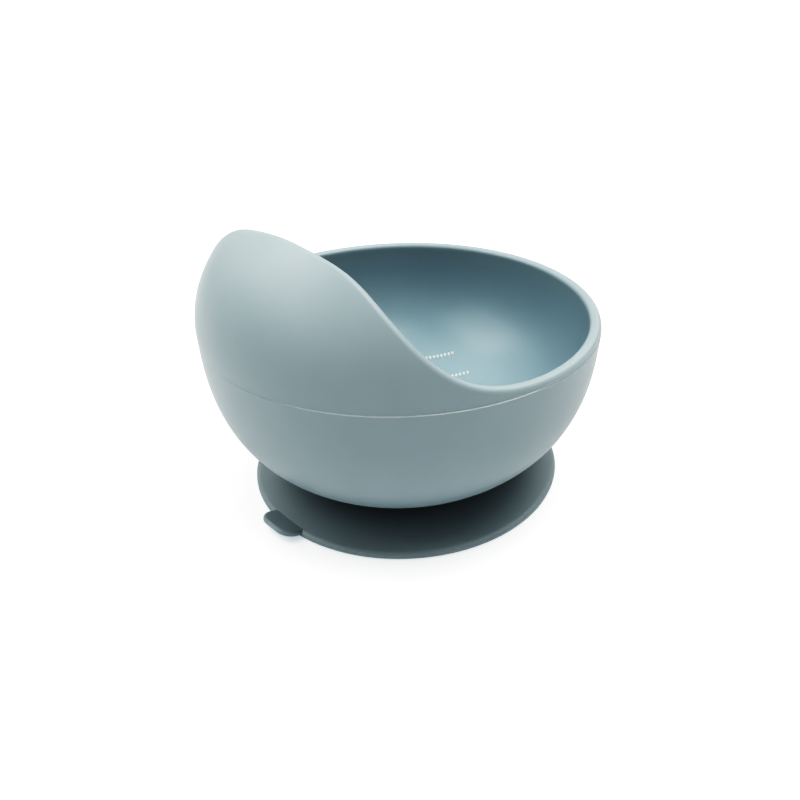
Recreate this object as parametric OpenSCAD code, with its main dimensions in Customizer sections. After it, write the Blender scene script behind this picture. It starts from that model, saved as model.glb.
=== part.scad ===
// Silicone suction bowl with one high scoop wall, standing on a flexible suction disc.
// Millimetres, +Z up. The origin is on the table, at the centre of the suction disc.
// The scoop wall and the pull tab point along -X, and the low side of the rim along +X.

/* [Bowl] */
// Widest outside diameter of the bowl
bowl_d = 122; // [116:1:128]
// Height of the bowl's widest place above the table
widest_z = 58.8; // [57:0.1:61]
// Half height of the oval that the outside follows below its widest place
belly_h = 55.8; // [54:0.1:57]
// Squareness of the belly: 2 is a plain ellipse, more is fuller
belly_n = 2.6; // [2.2:0.1:3]
// Half height of the oval that the scoop wall follows above the widest place
crown_h = 43; // [41:0.5:46]
// Squareness of the scoop wall's curve
crown_n = 1.9; // [1.8:0.1:2.2]
// Wall thickness at the lip
wall = 3.5; // [3:0.1:4.5]
// Height of the flat underside above the table
foot_z = 8; // [7.5:0.1:9]
// Thickness of the floor over the flat underside
floor_t = 8; // [7:0.5:10]

/* [Rim] */
// Height of the middle of the lip's top at the middle of the scoop wall
hood_z = 89.2; // [84:0.1:92]
// Height of the lip just outside the scoop wall
side_z = 56.7; // [56:0.1:60]
// Height of the lip at the low side, facing the scoop wall
low_z = 55.5; // [55:0.1:58]
// Angle from the middle of the scoop wall at which the lip is about half way down
hood_half_angle = 52.8; // [46:0.2:56]
// How quickly the lip drops there: more is steeper
hood_steepness = 7.5; // [5:0.1:9]
// How much the scoop wall's top arches: 0 is flat
hood_arch = 0.27; // [0:0.01:0.4]

/* [Plug and socket] */
// Diameter of the neck between the disc and the bowl
neck_d = 40; // [34:1:44]
// Diameter of the plug that the bowl is pushed on to
plug_d = 28; // [22:1:30]
// Height of the plug above the neck
plug_h = 4.6; // [3.5:0.1:5]
// Radial clearance round the plug
plug_gap = 0.2; // [0.1:0.05:0.3]

/* [Suction disc] */
// Diameter of the suction disc
disc_d = 101.2; // [98:0.2:104]
// Thickness of the disc at its edge
edge_t = 1.8; // [1.6:0.1:2.2]
// Height of the flat pad on which the neck stands
pad_z = 6.4; // [6:0.1:6.8]
// Depth of the hollow under the disc
cup_h = 3.4; // [2.6:0.1:3.6]
// Inside diameter of the flat ring that seals on the table
seal_d = 87; // [82:1:90]

/* [Pull tab] */
// How far the tab stands out past the disc's edge, along the tab
tab_reach = 5.7; // [4:0.1:7]
// Width of the tab
tab_w = 14.4; // [12:0.2:20]
// Thickness of the tab
tab_t = 1.8; // [1.6:0.1:2]
// Radius of the tab's corners
tab_corner = 4.5; // [2:0.5:5]
// How far the tab's root reaches in over the disc from its edge
tab_root = 2; // [1.8:0.1:2.6]
// Angle at which the tab rises from the disc's edge
tab_rise = 20; // [10:1:22]
// Distance from the centre at which the disc's edge folds when the tab is lifted
fold_x = 42; // [40:0.5:43]

/* [Hidden] */
$fn = 96;

silicone = [0.60, 0.69, 0.71];
silicone_disc = [0.45, 0.54, 0.57];

bowl_r = bowl_d / 2;
inner_r = bowl_r - wall;
disc_r = disc_d / 2;
seal_r = seal_d / 2;
neck_r = neck_d / 2;
plug_r = plug_d / 2;
socket_r = plug_r + plug_gap;
socket_gap = 0.4;         // between the plug's top and the socket's end
chamfer = 0.8;            // on the plug's top edge
curve_step = 6;           // degrees between the points of the bowl's ovals
crown_end = 74;           // degrees round the crown's oval, past the scoop wall's lip
floor_end = 84;           // degrees round the inside's oval, where the flat floor starts
rim_step = 5;             // degrees between the points of the lip's line
edge_step = 18;           // degrees between the points of the disc's round edge
belly_steps = 12;         // from the flat underside up to the widest place
hollow_steps = 8;         // across the hollow under the disc
dome_steps = 6;           // down the disc's top
cut = 1;                  // how far a cutting shape passes through a face
above = 40;               // how far the lip's cutting shape reaches past the bowl
pad_r = neck_r + 1.5;     // the disc's flat pad is a little wider than the neck
pad_fillet = 3;           // width of the slope from the pad to the disc's dome
pad_rise = 0.3;           // the pad's height over the top of the dome
dome_h = pad_z - pad_rise - edge_t;
tab_z = 0.1;              // height of the tab's underside at its root
fold_gap = 0.3;           // clearance along the fold between the disc and the lifting edge

// A point on a quarter of an oval, a = 0 at the widest place and 90 on the axis.
function oval(r, h, n, a) = [r * pow(cos(a), 2 / n), h * pow(sin(a), 2 / n)];
function belly(r, h, a) = let (p = oval(r, h, belly_n, a)) [p[0], widest_z - p[1]];
function crown(r, h, a) = let (p = oval(r, h, crown_n, a)) [p[0], widest_z + p[1]];

// Radius of an oval at a height from its widest place, and of the middle of the bowl's wall
function oval_r(r, h, n, z) = r * pow(1 - pow(min(z / h, 1), n), 1 / n);
function wall_r(z) = z < widest_z
    ? oval_r(bowl_r, belly_h, belly_n, widest_z - z) - wall / 2
    : (oval_r(bowl_r, crown_h, crown_n, z - widest_z)
        + oval_r(inner_r, crown_h - wall, crown_n, z - widest_z)) / 2;

// Height of the lip at an angle from the middle of the scoop wall, 0 to 180 degrees
function plain_rim_z(a) = (side_z + low_z) / 2 + (side_z - low_z) / 2 * cos(a);
function rim_z(a) = let (t = a / hood_half_angle)
    plain_rim_z(a) + (hood_z - side_z) / (1 + hood_arch * t * t + pow(t, hood_steepness));
function rim_point(a) = let (z = rim_z(a)) [-wall_r(z) * cos(a), z];

// Underside and top of the suction disc at a radius
function under_z(r) = cup_h * (1 - pow(r / seal_r, 2));
function top_z(r) = edge_t + dome_h * (1 - pow(r / disc_r, 2));

// The full round shell, before the lip's line is cut into it
module round_shell() {
    inner_h = widest_z - foot_z - floor_t;
    foot_a = asin(pow((widest_z - foot_z) / belly_h, belly_n / 2));
    rotate_extrude()
        polygon(concat(
            [[0, foot_z]],
            [for (i = [0:belly_steps]) belly(bowl_r, belly_h, foot_a * (1 - i / belly_steps))],
            [for (a = [curve_step:curve_step:crown_end]) crown(bowl_r, crown_h, a)],
            [for (a = [crown_end:-curve_step:1]) crown(inner_r, crown_h - wall, a)],
            [for (a = [0:curve_step:floor_end]) belly(inner_r, inner_h, a)],
            [[0, foot_z + floor_t]]
        ));
}

// Everything above the lip's line, seen from the side and as wide as the bowl
module above_rim() {
    far = bowl_r + above;
    top = hood_z + above;
    rotate([90, 0, 0])
        linear_extrude(height = 2 * far, center = true)
            polygon(concat(
                [for (a = [0:rim_step:180]) rim_point(a)],
                [[far, rim_z(180)], [far, top], [rim_point(0)[0], top]]
            ));
}

module bowl() {
    color(silicone)
        difference() {
            round_shell();
            above_rim();
            translate([0, 0, foot_z - cut])
                cylinder(r = socket_r, h = plug_h + socket_gap + cut);
        }
}

// The neck stands on the disc, and its plug sits in the socket under the bowl.
module neck_plug() {
    color(silicone_disc)
        rotate_extrude()
            polygon([
                [0, pad_z],
                [neck_r, pad_z],
                [neck_r, foot_z],
                [plug_r, foot_z],
                [plug_r, foot_z + plug_h - chamfer],
                [plug_r - chamfer, foot_z + plug_h],
                [0, foot_z + plug_h]
            ]);
}

// The whole disc: a flat sealing ring, a shallow hollow under it and a low dome on top
module whole_disc() {
    round_r = edge_t / 2;
    dome_w = disc_r - pad_r - pad_fillet;
    rotate_extrude()
        polygon(concat(
            [[0, cup_h]],
            [for (i = [1:hollow_steps - 1]) let (r = seal_r * i / hollow_steps) [r, under_z(r)]],
            [[seal_r, 0]],
            [for (a = [-90:edge_step:90]) [disc_r - round_r + round_r * cos(a), round_r * (1 + sin(a))]],
            [for (i = [1:dome_steps]) let (r = disc_r - dome_w * i / dome_steps) [r, top_z(r)]],
            [[pad_r, pad_z], [0, pad_z]]
        ));
}

// The half space on the tab's side of the fold
module past_fold(x) {
    translate([-disc_d - x, -disc_d, -disc_d])
        cube([disc_d, 2 * disc_d, 2 * disc_d]);
}

module suction_disc() {
    color(silicone_disc)
        difference() {
            whole_disc();
            past_fold(fold_x);
        }
}

// The tongue seen square on: straight sides and round corners, with its root at the origin
module tab_outline() {
    tab_len = tab_root + tab_reach;
    corner_y = tab_w / 2 - tab_corner;
    intersection() {
        union() {
            translate([tab_corner - tab_len, -tab_w / 2])
                square([tab_len, tab_w]);
            translate([-tab_len, -corner_y])
                square([tab_corner, 2 * corner_y]);
            for (side = [-1, 1])
                translate([tab_corner - tab_len, side * corner_y])
                    circle(r = tab_corner);
        }
        translate([-tab_len, -tab_w / 2])
            square([tab_len, tab_w]);
    }
}

// The tongue, rising from the disc's edge
module tongue() {
    translate([tab_root - disc_r, 0, tab_z])
        rotate([0, tab_rise, 0])
            linear_extrude(height = tab_t)
                tab_outline();
}

// The stretch of the disc's edge that peels up, with the tongue that pulls it
module release_tab() {
    color(silicone_disc)
        union() {
            intersection() {
                whole_disc();
                past_fold(fold_x + fold_gap);
            }
            tongue();
        }
}

suction_disc();
neck_plug();
release_tab();
bowl();
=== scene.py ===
import math

import bpy
import numpy as np
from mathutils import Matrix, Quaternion, Vector


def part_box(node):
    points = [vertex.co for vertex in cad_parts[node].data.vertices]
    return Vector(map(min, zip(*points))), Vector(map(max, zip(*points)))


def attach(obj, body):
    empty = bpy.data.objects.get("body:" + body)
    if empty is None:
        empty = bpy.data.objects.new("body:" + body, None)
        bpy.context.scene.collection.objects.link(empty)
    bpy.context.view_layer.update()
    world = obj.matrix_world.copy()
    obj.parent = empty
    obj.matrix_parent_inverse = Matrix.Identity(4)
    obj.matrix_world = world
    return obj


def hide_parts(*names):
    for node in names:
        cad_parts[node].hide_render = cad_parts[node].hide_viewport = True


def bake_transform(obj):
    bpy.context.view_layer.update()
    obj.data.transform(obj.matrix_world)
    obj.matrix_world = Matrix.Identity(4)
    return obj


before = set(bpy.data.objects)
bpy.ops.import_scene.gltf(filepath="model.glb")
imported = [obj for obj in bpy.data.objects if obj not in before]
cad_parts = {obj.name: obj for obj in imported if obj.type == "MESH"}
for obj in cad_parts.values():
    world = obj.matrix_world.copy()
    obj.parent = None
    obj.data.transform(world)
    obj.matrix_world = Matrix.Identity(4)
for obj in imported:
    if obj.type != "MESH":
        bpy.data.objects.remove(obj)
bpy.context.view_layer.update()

MM = 0.001

# Sizes of the CAD solids, read from the frame
BOWL_LOW, BOWL_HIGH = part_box("bowl")
DISC_LOW, DISC_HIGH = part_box("suction_disc")
PLUG_LOW, PLUG_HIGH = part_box("neck_plug")
BOWL_R = (BOWL_HIGH.y - BOWL_LOW.y) / 2
FOOT_Z = BOWL_LOW.z
DISC_R = DISC_HIGH.x
PAD_Z = DISC_HIGH.z
NECK_R = PLUG_HIGH.x
PLUG_TOP = PLUG_HIGH.z

# Sizes that the boxes can't give, the same as in the CAD
WIDEST_Z = 58.8 * MM
BELLY_H = 55.8 * MM
BELLY_N = 2.6
CROWN_H = 43 * MM
CROWN_N = 1.9
WALL = 3.5 * MM
FLOOR_T = 8 * MM
HOOD_Z = 89.2 * MM
SIDE_Z = 56.7 * MM
LOW_Z = 55.5 * MM
HOOD_HALF_ANGLE = 52.8
HOOD_STEEPNESS = 7.5
HOOD_ARCH = 0.27
PLUG_R = 14 * MM
SOCKET_R = 14.2 * MM
SOCKET_H = 5 * MM
EDGE_T = 1.8 * MM
CUP_H = 3.4 * MM
SEAL_R = 43.5 * MM
PAD_R = 21.5 * MM
PAD_SLOPE = 3 * MM
PAD_RISE = 0.3 * MM
TAB_REACH = 5.7 * MM
TAB_W = 14.4 * MM
TAB_T = 1.8 * MM
TAB_CORNER = 4.5 * MM
TAB_ROOT = 2 * MM
TAB_RISE = math.radians(20)
TAB_Z = 0.1 * MM

# Finer shapes, which only the looks have
COLUMNS = 288              # points round the bowl and the disc
LIP_ROUND = 1.45 * MM      # radius of the lip's two edges
LIP_CROWN = 0.14 * MM      # how far the lip's top bulges
SEAM_Z = 55.1 * MM         # mean height of the parting line
SEAM_TILT = 1.2 * MM       # how much higher it is under the scoop wall
SEAM_SHIFT = 0.24 * MM     # how far the lower half is shifted sideways there
SEAM_TURN = 78.6           # which way it is shifted, in degrees from the scoop wall
SEAM_WIDTH = 0.15 * MM     # height of the sloping ledge that the shift makes
SEAM_HIGHLIGHT_TURN = 55        # where the ledge gets a painted highlight, as a paler colour, in degrees from the scoop wall
SEAM_HIGHLIGHT_HALF = 40        # and how far that goes each way
SEAM_FADE = 2.6 * MM       # how far below the line the shift dies away
FOOT_ROUND = 1.6 * MM      # radius of the underside's outer edge
CENTRE_R = 38 * MM         # where the disc's centre piece meets its rim piece
TAB_ROUND = 0.7 * MM       # radius of the tab's edges
TAB_BURIED = 1.2 * MM        # how much further in the tab's top starts, under the disc's dome
SHARP = 35                 # degrees between faces past which an edge is shaded as sharp

# Two rows of raised dots on the bowl's floor: the place of a row's first dot and how many there are
DOT_ROWS = [(Vector((26.1, 21.3)) * MM, 11), (Vector((24.5, 8.5)) * MM, 9)]
DOT_STEP = Vector((1.0, -0.91)) * MM
DOT_LONG, DOT_WIDE, DOT_RISE = 0.85 * MM, 0.5 * MM, 0.24 * MM


def oval(r, h, n, a):
    """A point on a quarter of an oval: a = 0 at the widest place and a right angle on the axis."""
    return r * np.cos(a).clip(0) ** (2 / n), h * np.sin(a).clip(0) ** (2 / n)


class Line:
    """A line in the plane of radius and height that can be walked along by its length."""

    def __init__(self, r, z):
        self.r, self.z = r, z
        self.s = np.concatenate([[0], np.cumsum(np.hypot(np.diff(r), np.diff(z)))])
        dr, dz = np.gradient(r, self.s), np.gradient(z, self.s)
        size = np.hypot(dr, dz)
        self.nr, self.nz = dz / size, -dr / size

    def normal(self, s):
        """The unit vector on the line's right at a length along it."""
        return np.interp(s, self.s, self.nr), np.interp(s, self.s, self.nz)

    def at(self, s, depth=0.0):
        """The point at a length along the line, and at a depth on the line's left."""
        nr, nz = self.normal(s)
        return np.interp(s, self.s, self.r) - depth * nr, np.interp(s, self.s, self.z) - depth * nz


def outer_line():
    """The bowl's outside, from the underside's edge up to past the scoop wall's lip."""
    foot_a = math.asin(((WIDEST_Z - FOOT_Z) / BELLY_H) ** (BELLY_N / 2))
    down = oval(BOWL_R, BELLY_H, BELLY_N, foot_a * np.linspace(1, 0, 400) ** 1.4)
    up = oval(BOWL_R, CROWN_H, CROWN_N, math.radians(76) * np.linspace(0, 1, 300)[1:])
    return Line(np.concatenate([down[0], up[0]]), np.concatenate([WIDEST_Z - down[1], WIDEST_Z + up[1]]))


def inner_line():
    """The bowl's inside, from past the scoop wall's lip down to the middle of the floor."""
    inner_r, inner_h = BOWL_R - WALL, WIDEST_Z - FOOT_Z - FLOOR_T
    up = oval(inner_r, CROWN_H - WALL, CROWN_N, math.radians(76) * np.linspace(1, 0, 300)[:-1])
    down = oval(inner_r, inner_h, BELLY_N, math.pi / 2 * np.linspace(0, 1, 500) ** 1.4)
    return Line(np.concatenate([up[0], down[0]]), np.concatenate([WIDEST_Z + up[1], WIDEST_Z - down[1]]))


OUTER = outer_line()
INNER = inner_line()


def rim_z(a):
    """Height of the lip at an angle in degrees from the middle of the scoop wall."""
    t = a / HOOD_HALF_ANGLE
    plain = (SIDE_Z + LOW_Z) / 2 + (SIDE_Z - LOW_Z) / 2 * np.cos(np.radians(a))
    return plain + (HOOD_Z - SIDE_Z) / (1 + HOOD_ARCH * t * t + t ** HOOD_STEEPNESS)


def disc_top(r):
    """Height of the suction disc's top at a radius: a low dome with a flat pad on it."""
    dome = EDGE_T + (PAD_Z - PAD_RISE - EDGE_T) * (1 - (r / DISC_R) ** 2)
    t = np.clip((PAD_R + PAD_SLOPE - r) / PAD_SLOPE, 0, 1)
    t = t * t * (3 - 2 * t)
    return np.where(r < PAD_R, PAD_Z, dome + (PAD_Z - dome) * t)


def disc_under(r):
    """Height of the hollow under the suction disc at a radius."""
    return CUP_H * np.clip(1 - (r / SEAL_R) ** 2, 0, 1)


def mesh_object(name, verts, faces):
    """A smooth-shaded object in the scene."""
    mesh = bpy.data.meshes.new(name)
    mesh.from_pydata(verts, [], faces)
    mesh.validate()
    mesh.polygons.foreach_set("use_smooth", [True] * len(mesh.polygons))
    mesh.set_sharp_from_angle(angle=math.radians(SHARP))
    obj = bpy.data.objects.new(name, mesh)
    bpy.context.scene.collection.objects.link(obj)
    return obj


def skin(rows, first_pole=None, last_pole=None, closed=False):
    """Vertices and faces of rows of points that each go once round. A pole closes an end, or the last row joins the first."""
    points = np.asarray(rows, float)
    count, columns = points.shape[:2]
    verts = [tuple(p) for p in points.reshape(-1, 3)]
    faces = []
    for i in range(count if closed else count - 1):
        a, b = i * columns, (i + 1) % count * columns
        faces += [(a + j, b + j, b + (j + 1) % columns, a + (j + 1) % columns) for j in range(columns)]
    if first_pole is not None:
        verts.append(tuple(first_pole))
        faces += [(len(verts) - 1, j, (j + 1) % columns) for j in range(columns)]
    if last_pole is not None:
        verts.append(tuple(last_pole))
        base = (count - 1) * columns
        faces += [(len(verts) - 1, base + (j + 1) % columns, base + j) for j in range(columns)]
    return verts, faces


def joined(*parts):
    """Several lists of vertices and faces as one."""
    verts, faces = [], []
    for v, f in parts:
        faces += [tuple(i + len(verts) for i in face) for face in f]
        verts += v
    return verts, faces


ANGLE = np.linspace(0, 2 * math.pi, COLUMNS, endpoint=False)


def ring(r, z):
    """A row of points round the axis. It starts on the scoop wall's side, -X."""
    r, z = np.broadcast_arrays(r, z, ANGLE)[:2]
    return np.stack([-r * np.cos(ANGLE), -r * np.sin(ANGLE), z], axis=-1)


def arc(centre, radius, start, end, steps):
    """Points (r, z) of an arc between two angles in degrees."""
    a = np.radians(np.linspace(start, end, steps))
    return [(centre[0] + radius * math.cos(t), centre[1] + radius * math.sin(t)) for t in a]


def make_bowl():
    """The bowl as one closed skin: inside, round lip, outside with its parting line, underside, socket."""
    from_hood = np.degrees(np.abs((ANGLE + math.pi) % (2 * math.pi) - math.pi))
    lip_s = np.interp(rim_z(from_hood), OUTER.at(OUTER.s, WALL / 2)[1], OUTER.s)
    lip_r = OUTER.at(lip_s, WALL / 2)[0]
    climb = np.gradient(np.concatenate([lip_s[-2:], lip_s, lip_s[:2]]))[2:-2]
    stretch = np.hypot(1, climb / (lip_r * ANGLE[1]))  # a round edge is longer down the wall where the lip climbs
    rows = []

    # Inside, from the floor's middle up to the lip
    top_r, top_z = OUTER.at(lip_s - LIP_ROUND * stretch, WALL)
    start = np.interp(-top_z, -INNER.z, INNER.s)
    gap = top_r - INNER.at(start)[0]
    for u in np.linspace(0, 1, 76)[1:]:
        s = INNER.s[-1] + (start - INNER.s[-1]) * u
        r, z = INNER.at(s)
        rows.append(ring(r + gap * np.exp(-(((s - start) / (8 * MM)) ** 2)), z))

    # The lip: a round edge, a nearly flat top and a round edge
    for a in np.radians(np.linspace(0, 90, 8)[1:]):
        across, down = LIP_ROUND * (1 - math.cos(a)), LIP_ROUND * (1 - math.sin(a))
        rows.append(ring(*OUTER.at(lip_s - down * stretch, WALL - across)))
    for u in (-0.5, 0, 0.5):
        across = WALL / 2 - u * (WALL / 2 - LIP_ROUND)
        rows.append(ring(*OUTER.at(lip_s + LIP_CROWN * (1 - u * u), across)))
    for a in np.radians(np.linspace(90, 0, 8)):
        across, down = LIP_ROUND * (1 - math.cos(a)), LIP_ROUND * (1 - math.sin(a))
        rows.append(ring(*OUTER.at(lip_s - down * stretch, across)))

    # Outside, with the small ledge of the parting line
    edge = lip_s - LIP_ROUND * stretch
    seam_z = SEAM_Z + SEAM_TILT * np.cos(np.radians(from_hood))
    near = np.array([3, 1.2, 0.5, 0.25, -0.25, -0.5, -1.2, -3, -6]) * SEAM_WIDTH
    seam = np.minimum(np.interp(seam_z, OUTER.z, OUTER.s), edge - 1.5 * near[0])
    foot = np.interp(FOOT_Z + FOOT_ROUND, OUTER.at(OUTER.s, FOOT_ROUND)[1], OUTER.s)
    above = [edge + (seam + near[0] - edge) * u for u in np.linspace(0, 1, 32)[1:-1]]
    below = [seam + near[-1] + (foot - seam - near[-1]) * u for u in np.linspace(0, 1, 46)[1:]]
    shift = SEAM_SHIFT * np.cos(ANGLE - math.radians(SEAM_TURN))
    for s in above + [seam + d for d in near] + below:
        under = seam - s
        rise = np.clip(under / SEAM_WIDTH + 0.5, 0, 1)
        rows.append(ring(*OUTER.at(s, -shift * rise * np.exp(-np.maximum(under, 0) / SEAM_FADE))))

    # Underside and socket
    centre = OUTER.at(foot, FOOT_ROUND)
    lean = math.degrees(math.atan2(*OUTER.normal(foot)[::-1]))
    roof = FOOT_Z + SOCKET_H
    edge_r = 0.5 * MM
    section = arc(centre, FOOT_ROUND, lean, -90, 7)[1:]
    section += [(r, FOOT_Z) for r in np.linspace(centre[0], SOCKET_R + edge_r, 8)[1:-1]]
    section += arc((SOCKET_R + edge_r, FOOT_Z + edge_r), edge_r, 270, 180, 5)
    section += [(SOCKET_R, roof - 2 * edge_r)]
    section += arc((SOCKET_R - edge_r, roof - edge_r), edge_r, 0, 90, 5)
    section += [(r, roof) for r in np.linspace(SOCKET_R - edge_r, 0, 5)[1:-1]]
    rows += [ring(r, z) for r, z in section]
    return skin(rows, first_pole=(0, 0, INNER.z[-1]), last_pole=(0, 0, roof))


def make_disc_rim():
    """The outer part of the suction disc: dome, round edge, flat sealing ring and the start of the hollow."""
    half = EDGE_T / 2
    section = [(r, disc_top(r)) for r in np.linspace(CENTRE_R, DISC_R - half, 16)]
    section += arc((DISC_R - half, half), half, 90, -90, 13)[1:]
    section += [(r, 0) for r in np.linspace(DISC_R - half, SEAL_R + 0.6 * MM, 5)[1:]]
    section += [(r, disc_under(r)) for r in np.linspace(SEAL_R - 0.6 * MM, CENTRE_R, 6)]
    return skin([ring(r, z) for r, z in section], closed=True)


def make_disc_centre():
    """The middle of the suction disc, which sinks when the bowl is pressed down."""
    radii = np.concatenate([np.linspace(0, PAD_R, 6)[1:], np.linspace(PAD_R, CENTRE_R, 30)[1:]])
    section = [(r, disc_top(r)) for r in radii]
    section += [(r, disc_under(r)) for r in np.linspace(CENTRE_R, 0, 14)[:-1]]
    return skin([ring(r, z) for r, z in section], first_pole=(0, 0, PAD_Z), last_pole=(0, 0, CUP_H))


def make_neck_plug():
    """The neck on the disc's pad, with the plug that the bowl is pushed on to."""
    edge_r = 0.4 * MM
    section = [(NECK_R * 0.5, PAD_Z), (NECK_R, PAD_Z)]
    section += arc((NECK_R - edge_r, FOOT_Z - edge_r), edge_r, 0, 90, 5)
    section += [(PLUG_R + edge_r, FOOT_Z)]
    section += arc((PLUG_R + edge_r, FOOT_Z + edge_r), edge_r, 270, 180, 5)[1:]
    section += arc((PLUG_R - 2 * edge_r, PLUG_TOP - 2 * edge_r), 2 * edge_r, 0, 90, 7)
    section += [(PLUG_R * 0.5, PLUG_TOP)]
    rows = [ring(r, z) for r, z in section[::-1]]
    return skin(rows, first_pole=(0, 0, PLUG_TOP), last_pole=(0, 0, PAD_Z))


def tab_outline(inset, height):
    """The tab square on, drawn in by a distance, at a height through its thickness. The root is at 0."""
    end, half, corner = TAB_ROOT + TAB_REACH - inset, TAB_W / 2 - inset, TAB_CORNER - inset
    root = max(inset - TAB_ROUND, 0) - TAB_BURIED * height / TAB_T
    side = [(x, half) for x in np.linspace(root, end - corner, 10)[:-1]]
    side += arc((end - corner, half - corner), corner, 90, 0, 10)
    across = [(end, y) for y in np.linspace(half - corner, corner - half, 6)[1:-1]]
    back = [(root, y) for y in np.linspace(-half, half, 10)[1:-1]]
    return side + across + [(x, -y) for x, y in side[::-1]] + back


def make_tab():
    """The tongue that lifts the disc's edge: it rises outwards and has round edges."""
    cos, sin = math.cos(TAB_RISE), math.sin(TAB_RISE)

    def place(x, y, z):
        return -(DISC_R - TAB_ROOT + x * cos - z * sin), -y, TAB_Z + x * sin + z * cos

    edges = [(TAB_ROUND - x, TAB_T - TAB_ROUND + z) for x, z in arc((0, 0), TAB_ROUND, 90, 0, 6)]
    edges += [(TAB_ROUND - x, TAB_ROUND + z) for x, z in arc((0, 0), TAB_ROUND, 0, -90, 6)]
    edges = [(2.4 * TAB_ROUND, TAB_T)] + edges + [(2.4 * TAB_ROUND, 0)]
    rows = [[place(x, y, z) for x, y in tab_outline(inset, z)] for inset, z in edges]
    middle = (TAB_ROOT + TAB_REACH) / 2
    return skin(rows, first_pole=place(middle, 0, TAB_T), last_pole=place(middle, 0, 0))


def make_dot(x, y):
    """One low oval dot on the inside of the bowl, its long way across its row."""
    r = math.hypot(x, y)
    low = INNER.s > INNER.s[INNER.r.argmax()]
    s = np.interp(-r, -INNER.r[low], INNER.s[low])
    slope_r, slope_z = INNER.normal(s)
    out = Vector((x, y, 0)) / r
    up = out * float(slope_r) + Vector((0, 0, float(slope_z)))
    place = out * float(INNER.at(s)[0]) + Vector((0, 0, float(INNER.at(s)[1])))
    along = Vector((*DOT_STEP, 0)).normalized()
    across = up.cross(along).normalized()
    along = across.cross(up)
    rows = []
    for size, rise in ((0.65, 0.92), (0.92, 0.6), (1.05, 0.1), (1.15, -0.5)):
        turns = [math.radians(t) for t in range(0, 360, 30)]
        rows.append([place + size * (DOT_WIDE * math.cos(t) * along + DOT_LONG * math.sin(t) * across)
                     + rise * DOT_RISE * up for t in turns])
    return skin(rows, first_pole=place + DOT_RISE * up, last_pole=place - 0.5 * DOT_RISE * up)


def node_material(name):
    material = bpy.data.materials.new(name)
    material.use_nodes = True
    return material, material.node_tree.nodes, material.node_tree.links


def silicone(name, light, dark, roughness):
    """Satin silicone: a faint cloudy tone, a fine matte grain and a soft gloss."""
    material, nodes, links = node_material(name)
    shader = nodes["Principled BSDF"]
    where = nodes.new("ShaderNodeTexCoord")
    cloud = nodes.new("ShaderNodeTexNoise")
    cloud.inputs["Scale"].default_value = 28
    cloud.inputs["Detail"].default_value = 3
    links.new(where.outputs["Object"], cloud.inputs["Vector"])
    tone = nodes.new("ShaderNodeValToRGB")
    tone.color_ramp.elements[0].position = 0.3
    tone.color_ramp.elements[0].color = (*dark, 1)
    tone.color_ramp.elements[1].position = 0.7
    tone.color_ramp.elements[1].color = (*light, 1)
    links.new(cloud.outputs["Fac"], tone.inputs["Fac"])
    links.new(tone.outputs["Color"], shader.inputs["Base Color"])
    grain = nodes.new("ShaderNodeTexNoise")
    grain.inputs["Scale"].default_value = 2600
    grain.inputs["Detail"].default_value = 2
    links.new(where.outputs["Object"], grain.inputs["Vector"])
    bump = nodes.new("ShaderNodeBump")
    bump.inputs["Strength"].default_value = 0.12
    bump.inputs["Distance"].default_value = 0.05 * MM
    links.new(grain.outputs["Fac"], bump.inputs["Height"])
    links.new(bump.outputs["Normal"], shader.inputs["Normal"])
    gloss = nodes.new("ShaderNodeMapRange")
    gloss.inputs["To Min"].default_value = roughness - 0.04
    gloss.inputs["To Max"].default_value = roughness + 0.05
    links.new(cloud.outputs["Fac"], gloss.inputs["Value"])
    links.new(gloss.outputs["Result"], shader.inputs["Roughness"])
    shader.inputs["IOR"].default_value = 1.41
    return material


def studio_floor(colour, glow, seen_glow, far_glow):
    """The floor's material: matt, with a glow that the camera sees stronger far away and tinted against the warm light."""
    material, nodes, links = node_material("floor_white")
    shader = nodes["Principled BSDF"]
    shader.inputs["Base Color"].default_value = (*colour, 1)
    shader.inputs["Roughness"].default_value = 1
    shader.inputs["Specular IOR Level"].default_value = 0
    where = nodes.new("ShaderNodeNewGeometry")
    length = nodes.new("ShaderNodeVectorMath")
    length.operation = "LENGTH"
    links.new(where.outputs["Position"], length.inputs[0])
    far = nodes.new("ShaderNodeMapRange")
    far.inputs["From Min"].default_value = 0.09
    far.inputs["From Max"].default_value = 0.6
    far.inputs["To Min"].default_value = seen_glow
    far.inputs["To Max"].default_value = far_glow
    links.new(length.outputs["Value"], far.inputs["Value"])
    ray = nodes.new("ShaderNodeLightPath")
    strength = nodes.new("ShaderNodeMix")
    strength.inputs["A"].default_value = glow
    links.new(ray.outputs["Is Camera Ray"], strength.inputs["Factor"])
    links.new(far.outputs["Result"], strength.inputs["B"])
    links.new(strength.outputs["Result"], shader.inputs["Emission Strength"])
    tint = nodes.new("ShaderNodeMixRGB")
    tint.inputs["Color1"].default_value = (1, 1, 1, 1)
    tint.inputs["Color2"].default_value = (*SEEN_TINT, 1)
    links.new(ray.outputs["Is Camera Ray"], tint.inputs["Fac"])
    links.new(tint.outputs["Color"], shader.inputs["Emission Color"])
    return material


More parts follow.
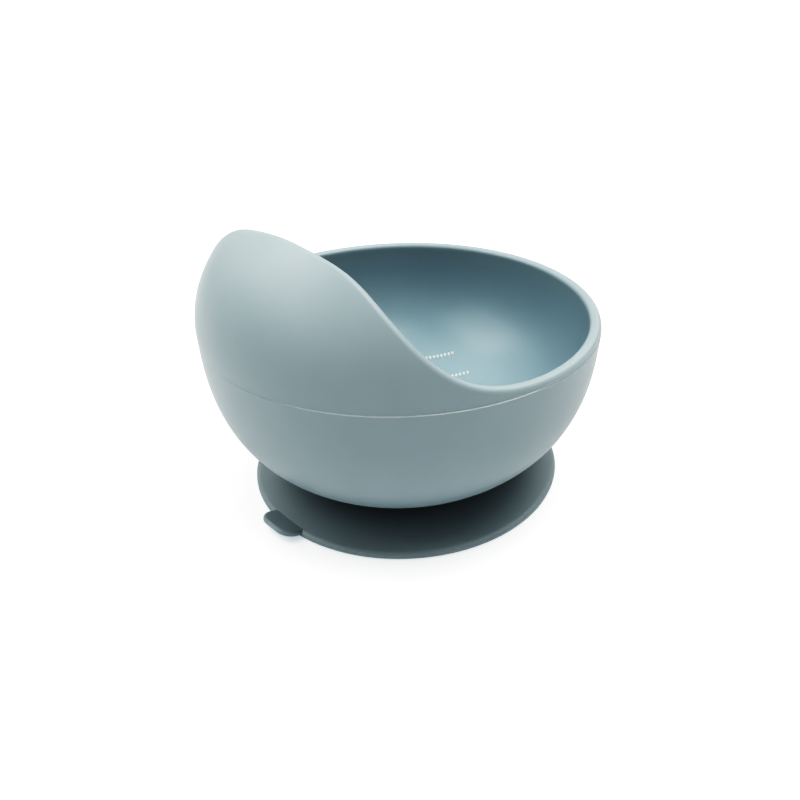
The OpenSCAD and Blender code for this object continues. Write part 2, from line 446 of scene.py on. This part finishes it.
class Maths:
    """Chains of maths nodes in a material, starting from a point's place on the object."""

    def __init__(self, material):
        self.nodes, self.links = material.node_tree.nodes, material.node_tree.links
        split = self.nodes.new("ShaderNodeSeparateXYZ")
        self.links.new(self.nodes.new("ShaderNodeTexCoord").outputs["Object"], split.inputs["Vector"])
        self.x, self.y, self.z = (split.outputs[axis] for axis in "XYZ")
        self.r = self.calc("SQRT", self.calc("ADD", self.calc("POWER", self.x, 2), self.calc("POWER", self.y, 2)))

    def calc(self, operation, *values):
        node = self.nodes.new("ShaderNodeMath")
        node.operation = operation
        for socket, value in zip(node.inputs, values):
            if isinstance(value, (int, float)):
                socket.default_value = value
            else:
                self.links.new(value, socket)
        return node.outputs["Value"]

    def ramp(self, value, low, high):
        """0 up to low, 1 from high on, and even in between."""
        node = self.nodes.new("ShaderNodeMapRange")
        node.inputs["From Min"].default_value = low
        node.inputs["From Max"].default_value = high
        self.links.new(value, node.inputs["Value"])
        return node.outputs["Result"]

    def tint(self, socket, blend, colour, where):
        """Blends a colour into a socket's own colour where a value is 1."""
        mix = self.nodes.new("ShaderNodeMixRGB")
        mix.blend_type = blend
        mix.inputs["Color2"].default_value = (*colour, 1)
        self.links.new(where, mix.inputs["Fac"])
        self.links.new(socket.links[0].from_socket, mix.inputs["Color1"])
        self.links.new(mix.outputs["Color"], socket)


def seam_painted_highlight(material, colour):
    """Paints a highlight on the parting line's ledge: a paler colour on one side of the bowl."""
    m = Maths(material)
    east, north = m.calc("DIVIDE", m.x, m.r), m.calc("DIVIDE", m.y, m.r)
    off = m.calc("ABSOLUTE", m.calc("SUBTRACT", m.z, m.calc("MULTIPLY_ADD", east, -SEAM_TILT, SEAM_Z)))
    turn = math.radians(SEAM_HIGHLIGHT_TURN)
    facing = m.calc("ADD", m.calc("MULTIPLY", east, -math.cos(turn)), m.calc("MULTIPLY", north, -math.sin(turn)))
    end, full = (math.cos(math.radians(a)) for a in (SEAM_HIGHLIGHT_HALF, SEAM_HIGHLIGHT_HALF - 14))
    where = m.calc("MULTIPLY", m.ramp(off, 1.2 * SEAM_WIDTH, 0.8 * SEAM_WIDTH), m.ramp(facing, end, full))
    where = m.calc("MULTIPLY", where, m.ramp(m.r, BOWL_R - WALL / 2, BOWL_R - WALL / 4))
    m.tint(material.node_tree.nodes["Principled BSDF"].inputs["Base Color"], "MIX", colour, where)


def gloss_and_painted_bounce_inside(material, colour, gloss):
    """Makes the bowl's inside glossier, and below its widest place a little deeper in colour as painted shade of the
    light bounced round within it.
    """
    m = Maths(material)
    shader = material.node_tree.nodes["Principled BSDF"]
    across = m.calc("POWER", m.calc("DIVIDE", m.r, BOWL_R), BELLY_N)
    down = m.calc("MAXIMUM", m.calc("DIVIDE", m.calc("SUBTRACT", WIDEST_Z, m.z), BELLY_H), 0)
    belly = m.calc("ADD", across, m.calc("POWER", down, BELLY_N))   # 1 on the outside, less within
    where = m.calc("MULTIPLY", m.ramp(belly, 0.95, 0.88), m.ramp(m.z, WIDEST_Z - 1 * MM, WIDEST_Z - 12 * MM))
    where = m.calc("MULTIPLY", where, m.ramp(m.z, FOOT_Z + 0.7 * FLOOR_T, FOOT_Z + 0.9 * FLOOR_T))
    m.tint(shader.inputs["Base Color"], "MULTIPLY", colour, where)
    rough = shader.inputs["Roughness"].links[0].from_socket
    m.links.new(m.calc("MULTIPLY_ADD", where, -gloss, rough), shader.inputs["Roughness"])


BOWL_SILICONE = silicone("bowl_silicone", (0.294, 0.374, 0.405), (0.276, 0.356, 0.385), 0.42)
# painted shade: a deeper, bluer colour inside the bowl for the light bounced between its walls; the lower roughness
# there is real gloss
gloss_and_painted_bounce_inside(BOWL_SILICONE, (0.91, 0.975, 1.01), 0.12)
# painted highlight: a paler band along the parting line's ledge on one side of the bowl
seam_painted_highlight(BOWL_SILICONE, (0.39, 0.47, 0.50))
# painted shade: the disc is the same silicone as the bowl, made a little darker for the shade it lies in under the bowl
DISC_SILICONE_SHADED = silicone("disc_silicone", (0.289, 0.364, 0.393), (0.271, 0.346, 0.373), 0.42)

# painted highlight: the dots are a paler copy of the silicone, for the glints on their raised tops
DOT_PAINTED_HIGHLIGHT = silicone("dot_silicone_painted_highlight", (0.47, 0.54, 0.56), (0.44, 0.51, 0.53), 0.36)

bowl = mesh_object("silicone_bowl", *make_bowl())
bowl.data.materials.append(BOWL_SILICONE)
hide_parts("bowl")
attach(bowl, "bowl")

dots = [make_dot(*(start + i * DOT_STEP)) for start, count in DOT_ROWS for i in range(count)]
dots = mesh_object("raised_dots", *joined(*dots))
dots.data.materials.append(DOT_PAINTED_HIGHLIGHT)
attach(dots, "bowl")

rim = mesh_object("disc_rim_and_tab", *joined(make_disc_rim(), make_tab()))
rim.data.materials.append(DISC_SILICONE_SHADED)
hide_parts("release_tab")
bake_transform(rim)

centre = mesh_object("disc_centre", *make_disc_centre())
centre.data.materials.append(DISC_SILICONE_SHADED)
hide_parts("suction_disc")
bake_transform(centre)

plug = mesh_object("neck_and_plug", *make_neck_plug())
plug.data.materials.append(DISC_SILICONE_SHADED)
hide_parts("neck_plug")
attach(plug, "plug")

# Where the photo is taken from: angles round the object, and where the camera looks
VIEW_TURN = -41.4
VIEW_RISE = 31.28
VIEW_ROLL = -2.74
VIEW_DISTANCE = 261.9 * MM
VIEW_AIM = Vector((-0.66, 0.58, 23.62)) * MM
LENS = 35.85


# Lamps: angle from the camera's side, height angle, distance, width and height in metres, and watts
LAMPS = [
    ("right_top", 90, 70, 0.8, 0.6, 0.6, 5.43),
    ("left_high", -90, 48, 0.8, 0.7, 0.5, 2.67),
    ("back_top", -135, 60, 0.8, 0.8, 0.4, 1.34),
    ("left_back", -135, 35, 0.8, 0.6, 0.6, 0.7),
    ("right_back", 135, 35, 0.8, 0.6, 0.6, 0.89),
]
LAMP_COLOUR = (1.1, 0.985, 0.915)
WORLD_GLOW = 0.607
WORLD_COLOUR = (1.09, 0.97, 0.94)
SEEN_TINT = (0.91, 1.01, 1.06)     # evens out the warm light on the floor for the camera


def around(turn, rise):
    """The unit vector towards a point at an angle round the object and a height angle: 0 is -Y, 90 is +X."""
    t, e = math.radians(turn), math.radians(rise)
    return Vector((math.sin(t) * math.cos(e), -math.cos(t) * math.cos(e), math.sin(e)))


def add_camera():
    data = bpy.data.cameras.new("camera")
    data.lens = LENS
    data.sensor_width = 36
    data.clip_start, data.clip_end = 0.01, 50
    camera = bpy.data.objects.new("camera", data)
    bpy.context.scene.collection.objects.link(camera)
    back = around(VIEW_TURN, VIEW_RISE)
    camera.location = VIEW_AIM + back * VIEW_DISTANCE
    camera.rotation_mode = "QUATERNION"
    level = (-back).to_track_quat("-Z", "Y")
    camera.rotation_quaternion = level @ Quaternion((0, 0, 1), math.radians(VIEW_ROLL))
    bpy.context.scene.camera = camera


def soft_light(name, turn, rise, distance, width, height, power):
    """A square soft light that looks at the bowl from an angle round it."""
    data = bpy.data.lights.new(name, "AREA")
    data.shape = "RECTANGLE"
    data.size, data.size_y = width, height
    data.energy = power
    data.color = LAMP_COLOUR
    light = bpy.data.objects.new(name, data)
    bpy.context.scene.collection.objects.link(light)
    towards = around(turn, rise)
    light.location = Vector((0, 0, 40 * MM)) + towards * distance
    light.rotation_mode = "QUATERNION"
    light.rotation_quaternion = (-towards).to_track_quat("-Z", "Y")
    return light


def add_floor():
    size = 6
    floor = mesh_object("floor", [(-size, -size, 0), (size, -size, 0), (size, size, 0), (-size, size, 0)], [(0, 1, 2, 3)])
    floor.data.materials.append(studio_floor((0.6, 0.6, 0.6), 0.405, 0.41, 1.1))
    return floor


def add_world(strength):
    """An even warm glow from all round, which the camera sees as plain white."""
    world = bpy.data.worlds.new("studio")
    world.use_nodes = True
    nodes, links = world.node_tree.nodes, world.node_tree.links
    tint = nodes.new("ShaderNodeMixRGB")
    tint.inputs["Color1"].default_value = (*[strength * c for c in WORLD_COLOUR], 1)
    tint.inputs["Color2"].default_value = (1, 1, 1, 1)
    links.new(nodes.new("ShaderNodeLightPath").outputs["Is Camera Ray"], tint.inputs["Fac"])
    links.new(tint.outputs["Color"], nodes["Background"].inputs["Color"])
    bpy.context.scene.world = world


def set_tones(steepness, middle):
    """The picture's tone curve: an S shape, as of a photo with strong contrast."""
    def light(x):
        return x / 12.92 if x <= 0.04045 else ((x + 0.055) / 1.055) ** 2.4

    def bend(x):
        return 1 / (1 + math.exp(-steepness * (x - middle)))

    view = bpy.context.scene.view_settings
    view.view_transform = "Standard"
    view.use_curve_mapping = True
    points = view.curve_mapping.curves[3].points
    for i in range(1, 16):
        x = i / 16
        points.new(light(x), light((bend(x) - bend(0)) / (bend(1) - bend(0))))
    view.curve_mapping.update()


add_camera()
add_floor()
add_world(WORLD_GLOW)
for name, turn, rise, distance, width, height, power in LAMPS:
    soft_light(name, VIEW_TURN + turn, rise, distance, width, height, power)
set_tones(7, 0.65)
